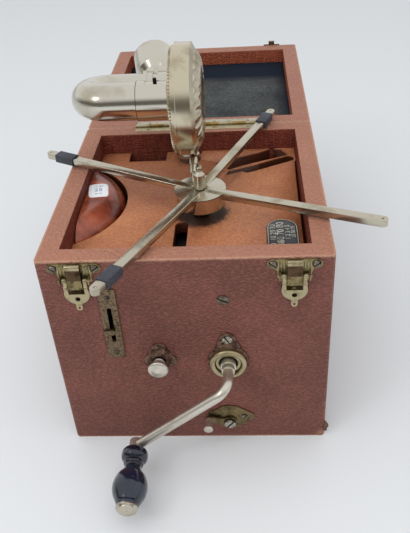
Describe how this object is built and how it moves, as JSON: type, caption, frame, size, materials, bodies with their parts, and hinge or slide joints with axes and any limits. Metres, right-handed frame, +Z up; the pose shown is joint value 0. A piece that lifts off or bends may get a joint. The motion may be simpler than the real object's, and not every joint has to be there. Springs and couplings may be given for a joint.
{
  "type": "portable gramophone",
  "caption": "Small portable wind-up gramophone in a leather-covered case, lid laid back, with folding record arms, U-shaped tone arm, sound box, crank and clockwork motor.",
  "frame": {"origin": "centre of the underside of the case", "axes": "+X to the right seen from the crank side, +Y to the back where the lid is hinged, +Z up"},
  "size_m": [0.2132, 0.416, 0.2276],
  "materials": {
    "leather": "pebbled reddish brown covering, worn at the edges",
    "strap_leather": "smooth brown leather",
    "wood": "plain",
    "brown_moulding": "mottled brown moulding, glossy",
    "black_enamel": "gloss enamel",
    "nickel": "nickel plate, lightly tarnished",
    "aged_brass": "aged, dull",
    "steel": "plain",
    "felt": "dark felt",
    "rubber": "matt",
    "black_handle": "black lacquer, glossy",
    "thin_aluminium": "thin sheet"
  },
  "bodies": {
    "case": {"case": "leather", "motor_board": "leather", "board_battens": "wood", "resonator_pocket": "wood", "rear_well": "wood", "resonator": "brown_moulding", "number_plate": "black_enamel", "hinge_case_leaf": "nickel", "hinge_pin": "steel", "speed_plate": "aged_brass", "knob_escutcheon": "aged_brass", "crank_escutcheon": "aged_brass", "crank_bush": "aged_brass", "catch_plate": "aged_brass", "front_screws": "aged_brass", "latch_plates": "nickel", "latch_screws": "nickel", "arm_spigot": "steel", "motor_top_plate": "steel", "motor_bottom_plate": "steel", "motor_pillars": "steel", "pivot_bracket": "steel", "winding_bracket": "steel", "lever_stud": "steel"},
    "lid_body": {"lid": "leather", "lid_felt": "felt", "hinge_lid_leaf": "aged_brass", "strike_plates": "nickel", "carry_strap": "strap_leather", "strap_loops": "nickel"},
    "left_lever": {"latch_lever_left": "nickel"},
    "right_lever": {"latch_lever_right": "nickel"},
    "left_claw": {"latch_claw_left": "nickel"},
    "right_claw": {"latch_claw_right": "nickel"},
    "pointer": {"speed_pointer": "nickel"},
    "speed_lever": {"governor_lever": "steel"},
    "stop": {"stop_knob": "aged_brass"},
    "catch": {"catch_lever": "nickel"},
    "crank": {"crank_rod": "nickel", "crank_gear": "steel"},
    "handle": {"crank_handle": "black_handle", "handle_cap": "nickel"},
    "arbor": {"winding_arbor": "steel"},
    "spring_barrel": {"barrel": "steel"},
    "middle_shaft": {"layshaft": "steel"},
    "governor_body": {"governor": "aged_brass"},
    "turntable": {"spindle": "steel", "turntable_hub": "nickel", "record_arm_right": "nickel", "record_arm_back": "nickel", "record_arm_left": "nickel", "record_arm_front": "nickel", "arm_sleeves": "rubber"},
    "tone_arm": {"arm_column": "nickel", "arm_tube": "nickel"},
    "neck": {"gooseneck": "nickel", "sound_box_back": "nickel", "sound_box_ring": "nickel", "diaphragm": "thin_aluminium", "needle_holder": "nickel"}
  },
  "joints": [
    {"name": "lid_hinge", "type": "hinge", "parent": "case", "child": "lid_body", "pos_m": [0, 0.0852, 0.1451], "axis": [1, 0, 0], "range_deg": [0, 14]},
    {"name": "left_lever_turn", "type": "hinge", "parent": "case", "child": "left_lever", "pos_m": [-0.0605, -0.088, 0.134], "axis": [1, 0, 0], "range_deg": [-60, 0]},
    {"name": "right_lever_turn", "type": "hinge", "parent": "case", "child": "right_lever", "pos_m": [0.0605, -0.088, 0.134], "axis": [1, 0, 0], "range_deg": [-60, 0]},
    {"name": "left_claw_turn", "type": "hinge", "parent": "left_lever", "child": "left_claw", "pos_m": [-0.0605, -0.088, 0.129], "axis": [1, 0, 0], "range_deg": [0, 60]},
    {"name": "right_claw_turn", "type": "hinge", "parent": "right_lever", "child": "right_claw", "pos_m": [0.0605, -0.088, 0.129], "axis": [1, 0, 0], "range_deg": [0, 60]},
    {"name": "speed_slide", "type": "slide", "parent": "case", "child": "pointer", "axis": [0, 0, 1], "range_m": [-0.0075, 0.01]},
    {"name": "governor_lever_turn", "type": "hinge", "parent": "case", "child": "speed_lever", "pos_m": [-0.0148, -0.07, 0.0956], "axis": [0, 1, 0], "range_deg": [-14.5, 19.3]},
    {"name": "stop_slide", "type": "slide", "parent": "case", "child": "stop", "axis": [0, 1, 0], "range_m": [0, 0.0034]},
    {"name": "catch_turn", "type": "hinge", "parent": "case", "child": "catch", "pos_m": [0.0213, -0.088, 0.0169], "axis": [0, 1, 0], "range_deg": [-20, 20]},
    {"name": "crank_turn", "type": "hinge", "parent": "case", "child": "crank", "pos_m": [0.0221, 0, 0.0692], "axis": [0, 1, 0], "continuous": true},
    {"name": "handle_spin", "type": "hinge", "parent": "crank", "child": "handle", "pos_m": [-0.03663, -0.13, 0.02096], "axis": [0, 1, 0], "continuous": true},
    {"name": "winding_arbor_turn", "type": "hinge", "parent": "case", "child": "arbor", "pos_m": [0.0221, -0.03, 0.03], "axis": [0, 0, 1], "continuous": true},
    {"name": "turntable_spin", "type": "hinge", "parent": "case", "child": "turntable", "pos_m": [0.0064, -0.014, 0.148], "axis": [0, 0, 1], "range_deg": [-48, 25]},
    {"name": "barrel_turn", "type": "hinge", "parent": "case", "child": "spring_barrel", "pos_m": [0.0221, -0.03, 0.03], "axis": [0, 0, 1], "range_deg": [-3, 2]},
    {"name": "middle_shaft_turn", "type": "hinge", "parent": "case", "child": "middle_shaft", "pos_m": [0.01598, 0.00446, 0.06], "axis": [0, 0, 1], "range_deg": [-8, 15]},
    {"name": "governor_turn", "type": "hinge", "parent": "case", "child": "governor_body", "pos_m": [-0.01279, -0.01333, 0.08], "axis": [0, 0, 1], "range_deg": [-130, 245]},
    {"name": "tone_arm_swing", "type": "hinge", "parent": "case", "child": "tone_arm", "pos_m": [-0.0055, 0.061, 0.16], "axis": [0, 0, 1], "range_deg": [-10, 55]},
    {"name": "gooseneck_turn", "type": "hinge", "parent": "tone_arm", "child": "neck", "pos_m": [0, 0.04299, 0.18919], "axis": [1, 0, 0], "range_deg": [-75, 0]}
  ],
  "couplings": [
    {"joint": "left_claw_turn", "follows": "left_lever_turn", "ratio": -1},
    {"joint": "right_claw_turn", "follows": "right_lever_turn", "ratio": -1},
    {"joint": "governor_lever_turn", "follows": "speed_slide", "rad_per_m": 33.333},
    {"joint": "winding_arbor_turn", "follows": "crank_turn", "ratio": -0.5},
    {"joint": "barrel_turn", "follows": "turntable_spin", "ratio": 0.05},
    {"joint": "middle_shaft_turn", "follows": "turntable_spin", "ratio": -0.3},
    {"joint": "governor_turn", "follows": "turntable_spin", "ratio": -5}
  ]
}
